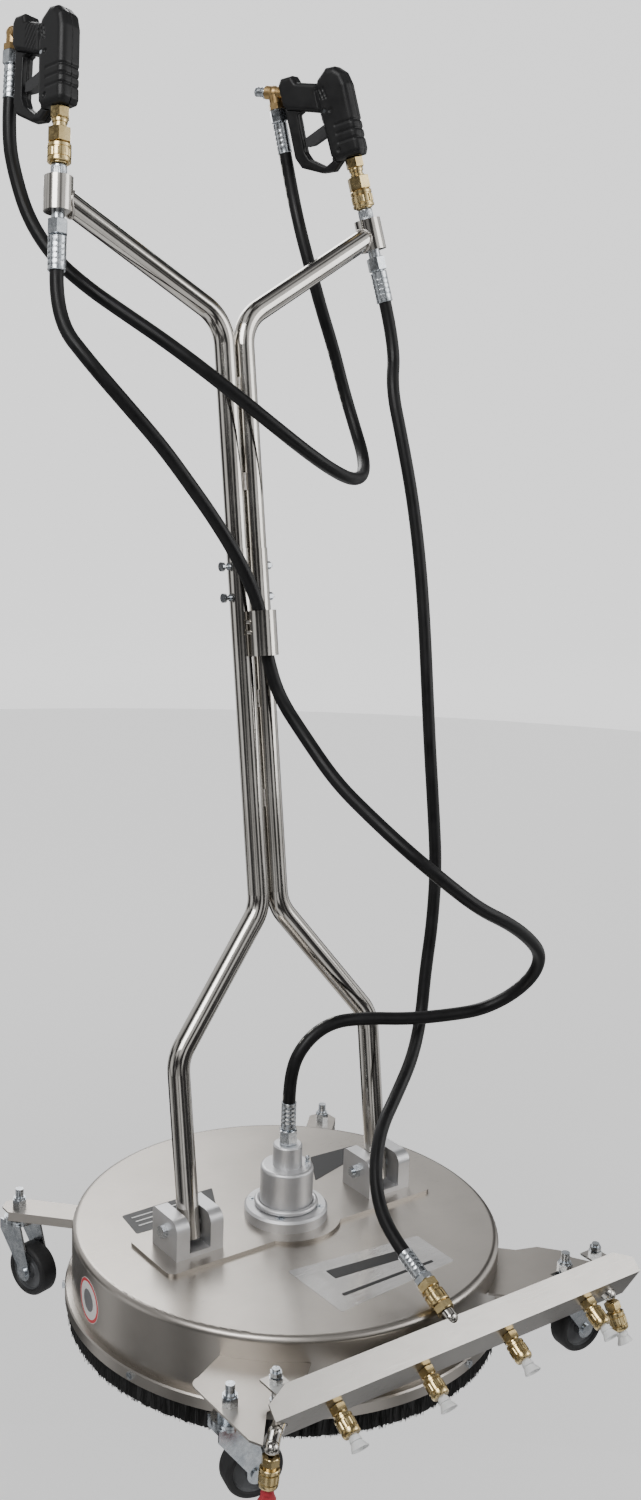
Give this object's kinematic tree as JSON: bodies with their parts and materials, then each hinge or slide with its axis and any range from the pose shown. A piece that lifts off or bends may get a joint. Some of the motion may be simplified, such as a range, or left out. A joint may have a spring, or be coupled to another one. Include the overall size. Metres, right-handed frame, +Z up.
{
  "type": "surface cleaner",
  "caption": "Round rotary floor cleaner for a pressure washer on swivel castors, with a forked handle, trigger guns and a front water broom.",
  "frame": {"origin": "on the floor, straight below the rotor axis", "axes": "+Z up, -Y towards the water broom, +X to the right seen from the water broom"},
  "size_m": [0.6669, 0.7534, 1.7889],
  "materials": {
    "brushed_stainless": "satin brushed",
    "polished_stainless": "polished",
    "cast_aluminium": "bead blasted",
    "black_bristle": "bristle",
    "zinc_steel": "zinc plated",
    "brass": "machined",
    "red_plastic": "matte",
    "white_plastic": "satin",
    "black_plastic": "moulded",
    "charcoal_plastic": "moulded",
    "hose_rubber": "matte",
    "tyre_black": "matte"
  },
  "bodies": {
    "deck": {"deck_shell": "brushed_stainless", "brush_rim": "brushed_stainless", "brush_skirt": "black_bristle", "rim_screws": "zinc_steel", "swivel_housing": "cast_aluminium", "housing_screws": "zinc_steel", "grease_nipple": "zinc_steel", "swivel_bearings": "zinc_steel", "handle_clevises": "brushed_stainless", "pivot_fasteners": "zinc_steel", "castor_arms": "brushed_stainless", "front_plates": "brushed_stainless", "castor_fasteners": "zinc_steel", "broom_cover": "brushed_stainless", "broom_bolts": "zinc_steel", "broom_pipe": "polished_stainless", "nozzle_sockets": "brass", "nozzle_tip_red": "red_plastic", "nozzle_tips_white": "white_plastic", "broom_inlet": "brass", "deck_hose_fittings": "zinc_steel"},
    "handle": {"leg_left": "polished_stainless", "leg_right": "polished_stainless", "arm_left": "polished_stainless", "arm_right": "polished_stainless", "tube_spigots": "polished_stainless", "joint_bolts": "zinc_steel", "hose_clip": "polished_stainless", "handle_collars": "polished_stainless", "collar_nipples": "zinc_steel", "gun_couplers": "brass", "gun_left_shell_front": "black_plastic", "gun_left_shell_back": "black_plastic", "gun_right_shell_front": "black_plastic", "gun_right_shell_back": "black_plastic", "gun_valves": "brass", "trigger_pins": "zinc_steel", "gun_inlet_fittings": "brass", "hose_fittings": "zinc_steel", "water_inlet_plug": "zinc_steel", "hose_swivel": "hose_rubber", "hose_link": "hose_rubber", "hose_broom": "hose_rubber"},
    "rotor": {"rotor_shaft": "polished_stainless", "rotor_hub": "cast_aluminium", "spray_arm": "polished_stainless", "spray_nozzles": "zinc_steel"},
    "fork_front_left": {"castor_fork_front_left": "zinc_steel"},
    "wheel_front_left": {"castor_wheel_front_left": "tyre_black"},
    "fork_front_right": {"castor_fork_front_right": "zinc_steel"},
    "wheel_front_right": {"castor_wheel_front_right": "tyre_black"},
    "fork_rear_left": {"castor_fork_rear_left": "zinc_steel"},
    "wheel_rear_left": {"castor_wheel_rear_left": "tyre_black"},
    "fork_rear_right": {"castor_fork_rear_right": "zinc_steel"},
    "wheel_rear_right": {"castor_wheel_rear_right": "tyre_black"},
    "trigger_left": {"trigger_left": "charcoal_plastic"},
    "coupler_sleeve_left": {"coupler_sleeve_left": "brass"},
    "trigger_right": {"trigger_right": "charcoal_plastic"},
    "coupler_sleeve_right": {"coupler_sleeve_right": "brass"},
    "inlet_sleeve": {"broom_inlet_sleeve": "brass"}
  },
  "joints": [
    {"name": "handle_tilt", "type": "hinge", "parent": "deck", "child": "handle", "pos_m": [0, 0, 0.1978], "axis": [-1, 0, 0], "range_deg": [-8.8, 35], "deforming": ["hose_swivel", "hose_broom"]},
    {"name": "rotor_spin", "type": "hinge", "parent": "deck", "child": "rotor", "pos_m": [0, 0, 0.1], "axis": [0, 0, 1], "continuous": true},
    {"name": "castor_swivel_front_left", "type": "hinge", "parent": "deck", "child": "fork_front_left", "pos_m": [-0.281, -0.282, 0.1], "axis": [0, 0, 1], "continuous": true},
    {"name": "wheel_spin_front_left", "type": "hinge", "parent": "fork_front_left", "child": "wheel_front_left", "pos_m": [-0.25166, -0.28824, 0.038], "axis": [0.2079, 0.9781, 0], "continuous": true},
    {"name": "castor_swivel_front_right", "type": "hinge", "parent": "deck", "child": "fork_front_right", "pos_m": [0.281, -0.282, 0.1], "axis": [0, 0, 1], "continuous": true},
    {"name": "wheel_spin_front_right", "type": "hinge", "parent": "fork_front_right", "child": "wheel_front_right", "pos_m": [0.31093, -0.28409, 0.038], "axis": [0.0698, 0.9976, 0], "continuous": true},
    {"name": "castor_swivel_rear_left", "type": "hinge", "parent": "deck", "child": "fork_rear_left", "pos_m": [-0.281, 0.287, 0.1], "axis": [0, 0, 1], "continuous": true},
    {"name": "wheel_spin_rear_left", "type": "hinge", "parent": "fork_rear_left", "child": "wheel_rear_left", "pos_m": [-0.27324, 0.25802, 0.038], "axis": [0.9659, 0.2588, 0], "continuous": true},
    {"name": "castor_swivel_rear_right", "type": "hinge", "parent": "deck", "child": "fork_rear_right", "pos_m": [0.281, 0.287, 0.1], "axis": [0, 0, 1], "continuous": true},
    {"name": "wheel_spin_rear_right", "type": "hinge", "parent": "fork_rear_right", "child": "wheel_rear_right", "pos_m": [0.27579, 0.25746, 0.038], "axis": [0.9848, -0.1736, 0], "continuous": true},
    {"name": "trigger_left_pull", "type": "hinge", "parent": "handle", "child": "trigger_left", "pos_m": [-0.2417, 0.25885, 1.72976], "axis": [-0.969, -0.2067, 0.1351], "range_deg": [0, 12], "stiffness_Nm_per_rad": 1.5, "springref_deg": -6.88},
    {"name": "coupler_left_release", "type": "slide", "parent": "handle", "child": "coupler_sleeve_left", "axis": [0.1045, 0.1521, 0.9828], "range_m": [-0.004, 0], "stiffness_N_per_m": 800, "springref_m": 0.002},
    {"name": "trigger_right_pull", "type": "hinge", "parent": "handle", "child": "trigger_right", "pos_m": [0.20208, 0.25559, 1.72066], "axis": [-0.8702, -0.4779, -0.1196], "range_deg": [0, 12], "stiffness_Nm_per_rad": 1.5, "springref_deg": -6.88},
    {"name": "coupler_right_release", "type": "slide", "parent": "handle", "child": "coupler_sleeve_right", "axis": [-0.2147, 0.1494, 0.9652], "range_m": [-0.004, 0], "stiffness_N_per_m": 800, "springref_m": 0.002},
    {"name": "broom_inlet_release", "type": "slide", "parent": "deck", "child": "inlet_sleeve", "axis": [0, 0.9063, 0.4226], "range_m": [0, 0.0045], "stiffness_N_per_m": 800, "springref_m": -0.002}
  ]
}
